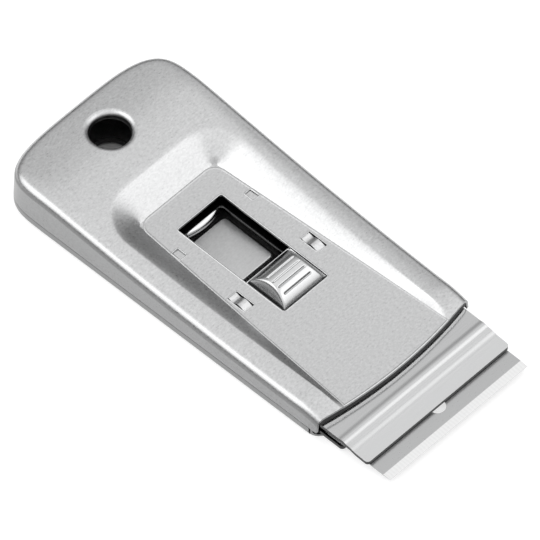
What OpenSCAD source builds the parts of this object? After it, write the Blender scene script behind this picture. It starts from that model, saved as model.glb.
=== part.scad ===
// Ceramic hob scraper: a flat sheet-steel housing with a blade carriage that slides out of its front.
// Millimetres. X runs from the rear end to the cutting edge, Z is up from the flat underside.
// Stations are distances from the rear end of the housing, with the blade slid out.

/* [Housing] */
// Length of the housing from its rear end to the middle of its front edge
house_l = 88; // [80:0.5:110]
// Width over the skirt at the rear
house_w = 44.2; // [43.6:0.1:60]
// How much narrower the housing is at its front
house_taper = 1.8; // [0.6:0.1:2]
// How far the front edge bulges forward in the middle
front_bulge = 2.2; // [0.5:0.1:4]
// Length of the rounded rear end
end_l = 13; // [8:0.5:20]
// Squareness of the rounded rear end
end_n = 3.8; // [2.4:0.1:5]
// Thickness of the housing sheet
sheet = 0.5; // [0.4:0.05:0.8]
// Radius rolled along the top edge
edge_r = 1.8; // [1:0.1:2.2]
// How far the skirt leans in from its lower edge to the rolled edge
draft = 0.2; // [0.1:0.05:0.2]
// Height of the top behind the recess, over the recess floor
rear_rise = 5.3; // [3:0.1:7]
// Height of the top at the front corners, over the recess floor
front_rise = 0.8; // [0.3:0.1:2]
// How far the top drops from its crown to the rear end
rear_drop = 1.5; // [0.2:0.1:2]
// Station of the crown of the top
crown_s = 12.5; // [10:0.5:18]
// How fast the top falls away in front of the crown
fall_power = 2.4; // [1.5:0.1:3]

/* [Back cover] */
// Height of the seam between the two covers
seam_h = 2.45; // [2.2:0.05:3]
// Height of the rim that stands inside the skirt
inner_rim_h = 1.7; // [1:0.1:2]
// Radius round the lower edge
lower_r = 1.2; // [1:0.1:1.6]
// Radius of the front corners
back_corner_r = 3.2; // [2:0.1:5]
// Gap between the rim and the skirt
rim_gap = 0.2; // [0.2:0.02:0.3]
// Length of the pressed pad at its foot
pad_l = 15.6; // [12:0.2:17]
// Width of the pressed pad at its foot
pad_w = 11.4; // [8:0.2:11.6]
// How far the sides of the pad lean in
pad_slope = 1.4; // [0.8:0.1:2.5]
// Distance from the rear edge of the window to the pad
pad_back = 1.2; // [0.8:0.1:3]
// Gap between the head of the pad and the carriage above it
pad_gap = 0.75; // [0.5:0.05:1]

/* [Recess] */
// Station of the rear border of the recess floor
floor_s = 27.9; // [25:0.2:32]
// Width of the recess floor at its rear corners
floor_w = 21.6; // [18:0.2:24]
// How much wider the recess floor is at the front
floor_flare = 7.2; // [2:0.2:9]
// Corner radius of the recess floor
floor_r = 3; // [2:0.1:5]
// Run of the recess wall at the rear
wall_run = 6.2; // [4:0.1:7]
// Run of the recess wall at the front
wall_run_front = 3.6; // [2:0.1:4]
// How far the front edge of the floor is turned down
front_drop = 0.5; // [0.2:0.1:0.8]
// Roundness of the top of the recess wall
wall_power = 1.7; // [1.2:0.1:2.5]

/* [Window and marks] */
// Distance from the rear border of the floor to the window
win_back = 6.3; // [4:0.1:9]
// Length of the window
win_l = 28.6; // [24:0.2:32]
// Width of the window
win_w = 12.1; // [10:0.1:14]
// Corner radius of the window
win_r = 0.5; // [0.2:0.1:1.5]
// Distance of the marks from the middle line
mark_y = 10.1; // [9.6:0.1:10.6]
// Length of a front mark
lance_l = 4.7; // [3:0.1:6]
// Width of a front mark
lance_w = 2.5; // [1.5:0.1:3]
// Distance from a front mark to the front edge of the window
lance_back = 5.3; // [4:0.1:8]
// How far the bridge of a front mark stands up
lance_rise = 0.35; // [0.2:0.05:0.6]
// Length of a rear mark
dent_l = 2.3; // [1.5:0.1:3]
// Width of a rear mark
dent_w = 1.7; // [1:0.1:2.2]
// Distance from the rear edge of the window to a rear mark
dent_front = 3.2; // [1.5:0.1:6]
// Depth of a rear mark
dent_d = 0.25; // [0.1:0.05:0.3]

/* [Hanging hole] */
// Station of the hanging hole
hole_s = 10.2; // [9.5:0.1:11.5]
// Diameter of the hanging hole
hole_d = 8.2; // [6:0.1:9]
// Radius of its rolled-in rim
hole_roll = 0.8; // [0.6:0.1:1]
// Depth of the collar inside the covers
collar_h = 1.9; // [1.4:0.1:2.4]

/* [Carriage] */
// Thickness of the holder and the clamp
leaf_t = 0.8; // [0.6:0.05:1]
// Gap between the underside of the carriage and the back cover
run_gap = 0.4; // [0.3:0.05:0.8]
// Gap between the carriage and the side rims at the front
side_gap = 0.3; // [0.2:0.05:0.6]
// How far the lip of the holder stands out of the housing
lip_out = 10.2; // [8:0.1:14]
// Length of the flat lip in front of the ribs
lip_l = 2.6; // [1.5:0.1:4]
// Run of the double rib
rib_l = 4.2; // [3:0.1:6]
// How far the first rib stands up
rib_h = 0.3; // [0.1:0.05:0.5]
// How far the lip lies below the shank
lip_step = 0.9; // [0.7:0.05:1.2]
// Corner radius of the lip
lip_r = 0.8; // [0.3:0.1:2]
// Width of the shank
shank_w = 21; // [20.4:0.2:23]
// Length of the bar that closes the slot at the rear
bar_l = 2; // [1.4:0.1:2]
// How far the slot reaches past the pressed pad at both ends of the travel
stop_gap = 0.4; // [0.3:0.05:0.6]
// Width of the slot in the shank
slot_w = 10.2; // [9:0.1:11.4]
// How far the lip stands in front of the clamp
clamp_back = 6.7; // [5:0.1:9]
// Gap between stacked leaves
lay_gap = 0.05; // [0.03:0.01:0.1]

/* [Blade] */
// Width of the blade
blade_w = 38.1; // [34:0.1:38.4]
// Length of the blade from its back to its cutting edge
blade_l = 19; // [16:0.1:22]
// Thickness of the blade
blade_t = 0.25; // [0.2:0.01:0.4]
// How far the blade stands out of the holder
blade_out = 5.4; // [4:0.1:8]
// Length of the ground bevel
bevel_l = 1; // [0.5:0.1:2]
// Diameter of the middle hole
blade_hole_d = 3.5; // [2.5:0.1:5]
// Distance from the middle hole to the cutting edge
blade_hole_back = 5.85; // [5:0.05:9]
// Diameter of the two locating holes
pip_hole_d = 3; // [2:0.1:4]
// Distance of the locating holes from the middle line
pip_y = 11; // [7:0.5:15]
// Distance of the locating holes from the back of the blade
pip_back = 3.6; // [3:0.1:5]
// Gap between a locating pip and its hole
pip_gap = 0.15; // [0.1:0.05:0.3]

/* [Thumb slide] */
// Length of the thumb slide
thumb_l = 10; // [8:0.1:14]
// Gap between the thumb slide and the window
thumb_gap = 0.3; // [0.2:0.05:0.5]
// Height of the crown of the thumb slide over the recess floor
thumb_h = 2.3; // [1.5:0.1:4]
// Rise of the domed back of the thumb slide
dome_h = 2.8; // [1.8:0.1:3]
// Wall of the thumb slide
thumb_wall = 0.6; // [0.4:0.05:0.8]
// Radius of its rounded ends
thumb_end_r = 1.4; // [0.8:0.1:2]
// Number of grooves across the thumb slide
groove_n = 4; // [2:1:6]
// Spacing of the grooves
groove_pitch = 1.55; // [1.2:0.05:2]
// Width of a groove
groove_w = 0.5; // [0.3:0.05:0.7]
// Depth of a groove
groove_d = 0.35; // [0.1:0.05:0.4]
// Length of the lugs that hang from it into the slot
lug_l = 6; // [4:0.5:8]
// Thickness of a lug
lug_t = 0.5; // [0.4:0.1:0.8]
// Thickness of the flange under the top cover
flange_t = 0.43; // [0.35:0.01:0.6]
// How far the flange reaches past the thumb slide
flange_out = 0.2; // [0.1:0.1:2]
// Width of the flange
flange_w = 16.4; // [15:0.1:16.8]
// Gap between the flange and the top cover
flange_gap = 0.17; // [0.1:0.01:0.3]
// Room for the spring under the flange
spring_room = 0.9; // [0.7:0.05:1.2]

/* [Spring and rivets] */
// Thickness of the lock spring
spring_t = 0.25; // [0.15:0.01:0.3]
// Width of each spring arm
arm_w = 2.7; // [1.5:0.1:2.8]
// Length of the spring's root
root_l = 5; // [4.4:0.1:6]
// Diameter of a rivet
rivet_d = 2.4; // [1.8:0.1:3]
// Diameter of a rivet head
rivet_head_d = 4; // [3.2:0.1:4.2]
// Height of a rivet head
rivet_head_h = 0.5; // [0.3:0.05:0.6]
// Gap between a rivet and its hole
rivet_gap = 0.03; // [0.02:0.01:0.08]
// Gap round a rivet head
head_gap = 0.5; // [0.3:0.1:1]
// Distance of the clamp rivets from the middle line
clamp_rivet_y = 13; // [12:0.5:15]
// Distance of the spring rivets from the middle line
spring_rivet_y = 5; // [3:0.5:7]

/* [Hidden] */
$fn = 48;
eps = 0.01;

// Heights of the stacked pieces, from the back cover up
clamp_z = sheet + run_gap;
blade_z = clamp_z + leaf_t + lay_gap;
lip_z = blade_z + blade_t + lay_gap;
shank_z = lip_z + lip_step;
shank_top = shank_z + leaf_t;
flange_z = shank_top + spring_room;
floor_under = flange_z + flange_t + flange_gap;
floor_h = floor_under + sheet;
crown_h = floor_h + rear_rise;
front_h = floor_h + front_rise;
pad_top = shank_z - pad_gap;

// Stations along the tool
ear_s = house_l - front_bulge;
win_s0 = floor_s + win_back;
win_s1 = win_s0 + win_l;
thumb_s1 = win_s1 - thumb_gap;
thumb_s0 = thumb_s1 - thumb_l;
travel = win_l - thumb_l - 2 * thumb_gap;
pad_s0 = win_s0 + pad_back;
pad_s1 = pad_s0 + pad_l;
slot_s0 = pad_s0 - stop_gap;
slot_s1 = pad_s1 + travel + stop_gap;
shank_s0 = slot_s0 - bar_l;
lip_s = house_l + lip_out;
blade_s1 = lip_s + blade_out;
blade_s0 = blade_s1 - blade_l;
clamp_s1 = lip_s - clamp_back;
root_s1 = slot_s1 + root_l;
spring_rivet_s = slot_s1 + root_l / 2;
clamp_rivet_s = blade_s0 - leaf_t - rivet_head_d / 2 - 1.5;
head_s0 = min(clamp_rivet_s - rivet_head_d / 2 - 1, root_s1 + 2);
overall_l = blade_s1;

// Half widths
function half_w(s) = (house_w - house_taper * s / house_l) / 2;
rim_in = sheet + rim_gap;
head_half = half_w(ear_s) - rim_in - sheet - side_gap;
slot_half = slot_w / 2;
lug_y = slot_half - lug_t / 2 - 0.2;
lug_z = shank_top - 0.7;

// The outline and the recess share these rows of points
side_n = 8;
rear_n = 10;
half_n = side_n + rear_n;
wrap_s = floor_s + floor_r;
floor_half = floor_w / 2;
corner_y = floor_half - floor_r;

function mix(a, b, t) = a + (b - a) * t;
function step01(t) = let(u = min(1, max(0, t))) u * u * (3 - 2 * u);
function ramp(d, k) = (sqrt(d * d + k * k) + d) / 2;

// Height of the top, which rises to a crown behind the recess and falls towards both ends
function top_h(s) =
    let(ahead = min(1, ramp(s - crown_s, 6) / (house_l - crown_s)))
    front_h + (crown_h - front_h) * pow(1 - ahead, fall_power) - rear_drop * ramp(crown_s - s, 6) / crown_s;

function floor_y(s) = floor_half + floor_flare / 2 * max(0, s - wrap_s) / (house_l - wrap_s);
function run(s) = mix(wall_run, wall_run_front, min(1, max(0, (s - wrap_s) / (house_l - wrap_s))));

// Height of the recess wall at a share of its run, crisp at its foot and rounded at its top
function wall_h(s, share) = mix(floor_h, top_h(s), 1 - pow(1 - share, wall_power));

// The front edge bulges forward in the middle
function bulge(s, y) =
    front_bulge * pow(max(0, (s - win_s1) / (ear_s - win_s1)), 2) * (1 - pow(y / half_w(s), 2));

// A point of the outline set in by d, for the half ring's point m
function end_point(phi, d) =
    let(b = half_w(end_l),
        x = pow(sin(phi), 2 / end_n),
        y = pow(cos(phi), 2 / end_n),
        nx = pow(x, end_n - 1) / end_l,
        ny = pow(y, end_n - 1) / b,
        nl = sqrt(nx * nx + ny * ny))
    [end_l * (1 - x) + d * nx / nl, b * y - d * ny / nl];
function outline_half(m, d) =
    m <= side_n ? let(s = mix(ear_s, wrap_s, m / side_n)) [s, half_w(s) - d]
    : let(t = (m - side_n) / rear_n)
      t < 0.25 ? let(s = mix(wrap_s, end_l, t / 0.25)) [s, half_w(s) - d]
      : end_point(90 * (t - 0.25) / 0.75, d);

// A point of the recess wall at a share of its run
function recess_half(m, share) =
    m <= side_n ? let(s = mix(ear_s, wrap_s, m / side_n)) [s, floor_y(s) + share * run(s)]
    : let(t = (m - side_n) / rear_n, r = floor_r + share * wall_run)
      t < 0.7 ? [wrap_s - r * sin(90 * t / 0.7), corner_y + r * cos(90 * t / 0.7)]
      : [wrap_s - r, corner_y * (1 - (t - 0.7) / 0.3)];

// A full ring runs from the near front corner round the rear to the far front corner
function whole(half) =
    let(n = len(half) - 1)
    [for (i = [0:2 * n]) let(p = half[i <= n ? i : 2 * n - i]) [p[0], i < n ? -p[1] : p[1], p[2]]];

// The front edge with its bulge, and with corners rounded to radius r
function corner_pull(y, r) = let(d = max(0, abs(y) - half_w(ear_s) + r)) r - sqrt(max(0, r * r - d * d));
function shaped(p, r) =
    [p[0] + bulge(p[0], p[1]) - (p[0] > ear_s - eps ? corner_pull(p[1], r) : 0), p[1], p[2]];

// Rings of the top cover: skirt, rolled edge, flat top, then the wall down to the recess floor
roll_angles = [0, 30, 60, 90];
flat_shares = [0.25, 0.5, 0.75];
wall_shares = [1, 0.75, 0.5, 0.28, 0.1, 0];
function skirt_ring(inset) = whole([for (m = [0:half_n]) let(p = outline_half(m, inset)) [p[0], p[1], seam_h]]);
function roll_ring(angle, thick) =
    whole([for (m = [0:half_n])
        let(r = edge_r - thick, p = outline_half(m, draft + edge_r - r * cos(angle)))
        [p[0], p[1], top_h(p[0]) - edge_r + r * sin(angle)]]);
function flat_ring(share, thick) =
    whole([for (m = [0:half_n])
        let(p = mix(outline_half(m, draft + edge_r), recess_half(m, 1), share))
        [p[0], p[1], top_h(p[0]) - thick]]);
function wall_ring(share, thick) =
    whole([for (m = [0:half_n])
        let(p = recess_half(m, share))
        [p[0], p[1], wall_h(p[0], share) - thick]]);
function cover_rings(thick) = concat(
    [skirt_ring(thick)],
    [for (a = roll_angles) roll_ring(a, thick)],
    [for (f = flat_shares) flat_ring(f, thick)],
    [for (w = wall_shares) wall_ring(w, thick)]);

// Rings of the back cover: rim inside the skirt, shoulder, wall and lower edge
function tray_ring(inset, z) = whole([for (m = [0:half_n]) let(p = outline_half(m, inset)) [p[0], p[1], z]]);
shoulder_z = seam_h - lay_gap;
function tray_rings(thick) = concat(
    [tray_ring(rim_in + thick, seam_h + inner_rim_h),
     tray_ring(rim_in + thick, shoulder_z - thick),
     tray_ring(thick, shoulder_z - thick)],
    [for (a = roll_angles) tray_ring(lower_r - (lower_r - thick) * cos(a), lower_r - (lower_r - thick) * sin(a))]);

// A thin shell between an outer and an inner stack of rings, closed by a flat floor inside the last ring
module ring_shell(outer, inner, corner_r = 0, front_cells = 14) {
    rings = len(outer);
    row = len(outer[0]);
    last = outer[rings - 1];
    y0 = last[0][1];
    arc = [for (k = [1:front_cells - 1]) y0 * sin(90 - 180 * k / front_cells)];
    outer_z = last[0][2];
    inner_z = inner[rings - 1][0][2];
    skin = rings * row + len(arc);
    points = concat(
        [for (ring = outer) for (p = ring) shaped(p, corner_r)],
        [for (y = arc) shaped([ear_s, y, outer_z], corner_r)],
        [for (ring = inner) for (p = ring) shaped(p, corner_r)],
        [for (y = arc) shaped([ear_s, y, inner_z], corner_r)]);
    strips = [for (r = [0:rings - 2]) for (i = [0:row - 2])
        let(a = r * row + i, b = a + 1, c = a + row, d = c + 1)
        for (f = [[a, c, b], [b, c, d], [skin + a, skin + b, skin + c], [skin + b, skin + d, skin + c]]) f];
    floor_loop = concat(
        [for (i = [0:row - 1]) (rings - 1) * row + i],
        [for (k = [len(arc) - 1:-1:0]) rings * row + k]);
    edge = concat(
        [for (i = [row - 1:-1:0]) i],
        [for (r = [1:rings - 1]) r * row],
        [for (k = [0:len(arc) - 1]) rings * row + k],
        [for (r = [rings - 1:-1:1]) r * row + row - 1]);
    rim = [for (k = [0:len(edge) - 1])
        let(a = edge[k], b = edge[(k + 1) % len(edge)])
        for (f = [[a, b, skin + a], [b, skin + b, skin + a]]) f];
    polyhedron(points, concat(strips, [floor_loop],
        [[for (k = [len(floor_loop) - 1:-1:0]) skin + floor_loop[k]]], rim), convexity = 8);
}

// Every module below draws in stations, and this puts the middle of the tool at the origin
module placed() {
    translate([-overall_l / 2, 0, 0]) children();
}
module rounded_plan(s0, s1, half, r) {
    hull_w = half - r;
    union() {
        translate([s0 + r, -half]) square([s1 - s0 - 2 * r, 2 * half]);
        translate([s0, -hull_w]) square([s1 - s0, 2 * hull_w]);
        for (s = [s0 + r, s1 - r], y = [-hull_w, hull_w]) translate([s, y]) circle(r);
    }
}
// A strip across the tool whose side view is a list of stations and heights
module across(points, half) {
    translate([0, half, 0]) rotate([90, 0, 0]) linear_extrude(2 * half) polygon(points);
}

hole_top = top_h(hole_s);
module hole_collar() {
    rotate_extrude() difference() {
        translate([hole_d / 2, -collar_h]) square([hole_roll + sheet, collar_h]);
        difference() {
            translate([hole_d / 2 - eps, -hole_roll]) square([hole_roll + eps, hole_roll + 1]);
            translate([hole_d / 2 + hole_roll, -hole_roll]) circle(hole_roll);
        }
        translate([hole_d / 2 + sheet, -collar_h - 1]) square([hole_roll + 1, collar_h + 1 - hole_roll]);
    }
}

lance_s1 = win_s1 - lance_back;
lance_s0 = lance_s1 - lance_l;
dent_s0 = win_s0 + dent_front;
// The bridge of a front mark is pressed up into a shallow ridge, which leaves a hollow for the spring below
module lance_bridge() {
    mid = (lance_s0 + lance_s1) / 2;
    low = floor_h - sheet;
    across([[lance_s0 - 0.3, floor_h - 0.05], [mid, floor_h + lance_rise], [lance_s1 + 0.3, floor_h - 0.05],
            [lance_s1 + 0.3, low + 0.05], [mid, low + lance_rise], [lance_s0 - 0.3, low + 0.05]],
           lance_w / 2 - 0.12);
}
// The front edge of the recess floor is turned down towards the carriage
module front_hem() {
    y1 = floor_y(ear_s) - 0.3;
    steps = 12;
    ys = [for (k = [0:steps]) y1 * cos(180 * k / steps)];
    edge = [for (y = ys) [ear_s + bulge(ear_s, y) - 0.03, y]];
    translate([0, 0, floor_under - front_drop]) linear_extrude(front_drop + sheet / 2)
        polygon(concat(edge, [for (k = [steps:-1:0]) edge[k] - [sheet, 0]]));
}

module top_cover() {
    color([0.72, 0.73, 0.74]) placed() {
        difference() {
            union() {
                ring_shell(cover_rings(0), cover_rings(sheet));
                front_hem();
                for (side = [-1, 1]) translate([dent_s0, side * mark_y - dent_w / 2, floor_under - dent_d])
                    cube([dent_l, dent_w, sheet]);
            }
            translate([0, 0, floor_under - 1]) linear_extrude(sheet + 2)
                rounded_plan(win_s0, win_s1, win_w / 2, win_r);
            translate([hole_s, 0, crown_h / 2]) cylinder(r = hole_d / 2 + hole_roll + eps, h = crown_h);
            for (side = [-1, 1]) {
                translate([lance_s0, side * mark_y - lance_w / 2, floor_under - 1])
                    cube([lance_l, lance_w, sheet + 2]);
                translate([dent_s0 + 0.2, side * mark_y - dent_w / 2 + 0.2, floor_h - dent_d])
                    cube([dent_l - 0.4, dent_w - 0.4, 1]);
            }
        }
        translate([hole_s, 0, hole_top]) hole_collar();
        for (side = [-1, 1]) translate([0, side * mark_y, 0]) lance_bridge();
    }
}

module pad_form(grow, z0, z1) {
    hull() {
        translate([0, 0, z0]) linear_extrude(eps)
            rounded_plan(pad_s0 - grow, pad_s1 + grow, pad_w / 2 + grow, 2.2, $fn = 32);
        translate([0, 0, z1 - eps]) linear_extrude(eps)
            rounded_plan(pad_s0 + pad_slope - grow, pad_s1 - pad_slope + grow,
                         pad_w / 2 - pad_slope + grow, 1.4, $fn = 32);
    }
}

module back_cover() {
    color([0.66, 0.67, 0.68]) placed() {
        difference() {
            union() {
                ring_shell(tray_rings(0), tray_rings(sheet), back_corner_r);
                pad_form(0, sheet / 2, pad_top);
            }
            pad_form(-sheet, -sheet, pad_top - sheet);
            translate([hole_s, 0, -1]) cylinder(r = hole_d / 2 + hole_roll + eps, h = crown_h);
        }
        translate([hole_s, 0, 0]) mirror([0, 0, 1]) hole_collar();
    }
}
// Side view of the holder: a flat shank, a rib that stands up, a second one below it, and the flat lip
rib_s = lip_s - lip_l - rib_l;
rib_run = rib_l / 4.2;
function holder_h(s) =
    shank_z + rib_h * step01((s - rib_s) / (1.0 * rib_run))
    - (lip_step + rib_h) / 2 * step01((s - rib_s - 0.9 * rib_run) / (1.3 * rib_run))
    - (lip_step + rib_h) / 2 * step01((s - rib_s - 2.5 * rib_run) / (1.3 * rib_run));
rib_cells = 28;
rib_line = concat([for (k = [0:rib_cells]) let(s = rib_s + rib_l * k / rib_cells) [s, holder_h(s)]],
                  [[lip_s, lip_z]]);
module holder_profile(s0) {
    line = concat([[s0, shank_z]], rib_line);
    across(concat([for (p = line) [p[0], p[1] + leaf_t]],
                  [for (k = [len(line) - 1:-1:0]) line[k]]), head_half);
}

module blade_holder() {
    bar_foot = leaf_t;
    color([0.68, 0.69, 0.70]) placed() difference() {
        union() {
            intersection() {
                holder_profile(head_s0);
                translate([0, 0, lip_z - 1]) linear_extrude(shank_top + 2)
                    rounded_plan(head_s0, lip_s, head_half, lip_r);
            }
            translate([shank_s0, -shank_w / 2, shank_z]) cube([head_s0 - shank_s0 + 1, shank_w, leaf_t]);
            translate([shank_s0, -slot_half, clamp_z]) cube([bar_foot, 2 * slot_half, shank_z - clamp_z + eps]);
        }
        translate([0, 0, shank_z - 1]) linear_extrude(leaf_t + 2)
            rounded_plan(slot_s0, slot_s1, slot_half, 1.2);
        rivet_holes(clamp_rivet_s, clamp_rivet_y);
        rivet_holes(spring_rivet_s, spring_rivet_y);
    }
}

module rivet_holes(s, y) {
    for (side = [-1, 1]) translate([s, side * y, 0]) cylinder(r = rivet_d / 2 + rivet_gap, h = crown_h);
}

// Where the clamp reaches back to the spring's rivets it is notched to clear their heads
module spring_rivet_notch() {
    reach = spring_rivet_s + rivet_head_d / 2 + head_gap;
    half = spring_rivet_y + rivet_head_d / 2 + head_gap;
    translate([head_s0 - 1, -half, 0]) cube([max(0.5, reach - head_s0 + 1), 2 * half, crown_h]);
}

module blade_clamp() {
    front_s = blade_s0 - lay_gap;
    rear_z = shank_z - lay_gap - leaf_t;
    color([0.60, 0.61, 0.62]) placed() {
        difference() {
            intersection() {
                across([[head_s0, rear_z], [head_s0, rear_z + leaf_t], [front_s, rear_z + leaf_t],
                        [front_s, clamp_z + leaf_t], [clamp_s1, clamp_z + leaf_t], [clamp_s1, clamp_z],
                        [front_s - leaf_t, clamp_z], [front_s - leaf_t, rear_z]], head_half);
                translate([0, 0, clamp_z - 1]) linear_extrude(shank_z + 2)
                    rounded_plan(head_s0, clamp_s1, head_half, lip_r);
            }
            rivet_holes(clamp_rivet_s, clamp_rivet_y);
            spring_rivet_notch();
        }
        for (side = [-1, 1]) translate([blade_s0 + pip_back, side * pip_y, clamp_z + leaf_t - eps])
            cylinder(r = pip_hole_d / 2 - pip_gap, h = blade_t + lay_gap + 0.3);
    }
}

module razor_blade() {
    color([0.78, 0.79, 0.80]) placed() difference() {
        across([[blade_s0, blade_z], [blade_s0, blade_z + blade_t], [blade_s1 - bevel_l, blade_z + blade_t],
                [blade_s1, blade_z + blade_t / 2 + 0.02], [blade_s1, blade_z + blade_t / 2 - 0.02],
                [blade_s1 - bevel_l, blade_z]], blade_w / 2);
        translate([blade_s1 - blade_hole_back, 0, 0]) cylinder(r = blade_hole_d / 2, h = crown_h);
        for (side = [-1, 1]) translate([blade_s0 + pip_back, side * pip_y, 0])
            cylinder(r = pip_hole_d / 2, h = crown_h);
    }
}

// The thumb slide's domed back is one arc from its rear to its front
thumb_half = win_w / 2 - thumb_gap;
thumb_top = floor_h + thumb_h;
dome_r = (pow(thumb_l / 2, 2) + pow(dome_h, 2)) / (2 * dome_h);
thumb_mid = (thumb_s0 + thumb_s1) / 2;
module dome_view(wall) {
    intersection() {
        translate([thumb_s0 + wall, flange_z]) square([thumb_l - 2 * wall, thumb_top - flange_z]);
        translate([thumb_mid, thumb_top - dome_r]) circle(dome_r - wall, $fn = 96);
    }
}
module end_view(wall) {
    half = thumb_half - wall;
    r = thumb_end_r;
    top = thumb_top - wall;
    translate([-half, flange_z]) square([2 * half, top - r - flange_z]);
    translate([-half + r, flange_z]) square([2 * (half - r), top - flange_z]);
    for (y = [-half + r, half - r]) translate([y, top - r]) circle(r);
}
module thumb_body(wall) {
    intersection() {
        translate([0, thumb_half + 1, 0]) rotate([90, 0, 0]) linear_extrude(2 * thumb_half + 2) dome_view(wall);
        translate([thumb_s0 - 1, 0, 0]) rotate([90, 0, 90]) linear_extrude(thumb_l + 2) end_view(wall);
    }
}
groove_s0 = thumb_mid + groove_pitch / 2 - (groove_n - 1) * groove_pitch / 2;
module thumb_slide() {
    flange_s0 = thumb_s0 - flange_out;
    flange_s1 = thumb_s1 + flange_out;
    color([0.80, 0.81, 0.82]) placed() {
        difference() {
            union() {
                thumb_body(0);
                translate([flange_s0, -flange_w / 2, flange_z]) cube([flange_s1 - flange_s0, flange_w, flange_t]);
            }
            translate([0, 0, -eps]) thumb_body(thumb_wall);
            for (k = [0:groove_n - 1]) {
                s = groove_s0 + k * groove_pitch;
                z = thumb_top - dome_r + sqrt(dome_r * dome_r - pow(s - thumb_mid, 2));
                translate([s - groove_w / 2, -thumb_half + thumb_end_r, z - groove_d])
                    cube([groove_w, 2 * (thumb_half - thumb_end_r), groove_d + 1]);
            }
        }
        for (side = [0, 1]) mirror([0, side, 0]) translate([thumb_mid - lug_l / 2, lug_y - lug_t / 2, 0]) {
            translate([0, 0, lug_z]) cube([lug_l, lug_t, flange_z - lug_z + eps]);
            translate([0, 0, flange_z]) cube([lug_l, thumb_half + 0.5 - lug_y, flange_t]);
        }
    }
}

// The spring is a flat root and two bowed arms
arm_cells = 16;
arm_s0 = thumb_s0 - 2;
arm_y1 = shank_w / 2 - 0.4;
spring_z = shank_top + lay_gap;
function bow(s) = (spring_room - spring_t - 2 * lay_gap) * sin(180 * (s - arm_s0) / (slot_s1 - arm_s0));
arm_line = [for (k = [0:arm_cells]) let(s = mix(arm_s0, slot_s1, k / arm_cells)) [s, spring_z + bow(s)]];
module lock_spring() {
    color([0.55, 0.56, 0.58]) placed() {
        difference() {
            translate([slot_s1 + 0.2, -arm_y1, spring_z]) cube([root_l - 0.4, 2 * arm_y1, spring_t]);
            rivet_holes(spring_rivet_s, spring_rivet_y);
        }
        for (side = [-1, 1]) translate([0, side * (arm_y1 - arm_w / 2), 0])
            across(concat([for (p = arm_line) [p[0], p[1] + spring_t]],
                          [[slot_s1 + 0.5, spring_z + spring_t], [slot_s1 + 0.5, spring_z]],
                          [for (k = [arm_cells:-1:0]) arm_line[k]]), arm_w / 2);
    }
}

module rivet(z0, z1) {
    translate([0, 0, z0 - rivet_head_h]) cylinder(r = rivet_head_d / 2, h = rivet_head_h - lay_gap / 2);
    translate([0, 0, z0 - rivet_head_h / 2]) cylinder(r = rivet_d / 2, h = z1 - z0 + rivet_head_h);
    translate([0, 0, z1 + lay_gap / 2]) cylinder(r = rivet_head_d / 2, h = rivet_head_h - lay_gap / 2);
}
module carriage_rivets() {
    color([0.62, 0.62, 0.63]) placed() for (side = [-1, 1]) {
        translate([clamp_rivet_s, side * clamp_rivet_y, 0]) rivet(shank_z - lay_gap - leaf_t, shank_top);
        translate([spring_rivet_s, side * spring_rivet_y, 0]) rivet(shank_z, spring_z + spring_t);
    }
}

top_cover();
back_cover();
blade_holder();
blade_clamp();
razor_blade();
thumb_slide();
lock_spring();
carriage_rivets();
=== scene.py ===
# %% [markdown]
# A ceramic hob scraper lies flat on a white table. It is a thin box of two pressed steel covers with a
# blade carriage inside, and a thumb slide in a long pressed recess pushes the blade out of the front.
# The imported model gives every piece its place, and this lesson dresses it: the covers, the thumb slide and
# the blade holder are built again with fine curves, and every piece gets its metal.

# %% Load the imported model
import math

import bmesh
import bpy
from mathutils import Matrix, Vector


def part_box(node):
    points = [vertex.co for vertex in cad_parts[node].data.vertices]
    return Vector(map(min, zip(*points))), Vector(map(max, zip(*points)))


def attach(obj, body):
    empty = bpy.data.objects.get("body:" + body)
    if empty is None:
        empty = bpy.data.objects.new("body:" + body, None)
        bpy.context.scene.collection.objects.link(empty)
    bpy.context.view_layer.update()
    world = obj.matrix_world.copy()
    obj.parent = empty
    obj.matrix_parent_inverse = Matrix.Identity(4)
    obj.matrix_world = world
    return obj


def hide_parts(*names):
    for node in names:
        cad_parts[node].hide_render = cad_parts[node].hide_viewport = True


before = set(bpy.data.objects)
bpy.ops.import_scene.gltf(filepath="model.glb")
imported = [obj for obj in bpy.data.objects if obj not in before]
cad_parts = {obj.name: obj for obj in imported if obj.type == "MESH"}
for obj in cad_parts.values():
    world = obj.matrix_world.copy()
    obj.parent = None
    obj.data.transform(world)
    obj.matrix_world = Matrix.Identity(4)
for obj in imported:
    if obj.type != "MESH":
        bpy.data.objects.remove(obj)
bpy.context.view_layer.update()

MM = 0.001
print("pieces in the frame:", sorted(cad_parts))

# %% [markdown]
# The photograph was taken from far away with a long lens, so its edges hardly converge. A camera four
# metres off does the same. It looks down at a little over fifty degrees, from the blade's right, and
# the point it aims at is found from the window's middle, which is easy to place in the photograph.

# %% Camera
CAMERA_AZIMUTH = math.radians(44)
CAMERA_ELEVATION = math.radians(52.5)
CAMERA_DISTANCE = 4000 * MM
PIXELS_PER_MM = 5.19
PICTURE = 540
WINDOW_PIXEL = (252.6, 252.5)
WINDOW_S = 48.5
WINDOW_H = 5.8

house_low, house_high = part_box("top_cover")
REAR_X = house_low.x / MM
WINDOW_MIDDLE = Vector((WINDOW_S + REAR_X, 0, WINDOW_H)) * MM

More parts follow.
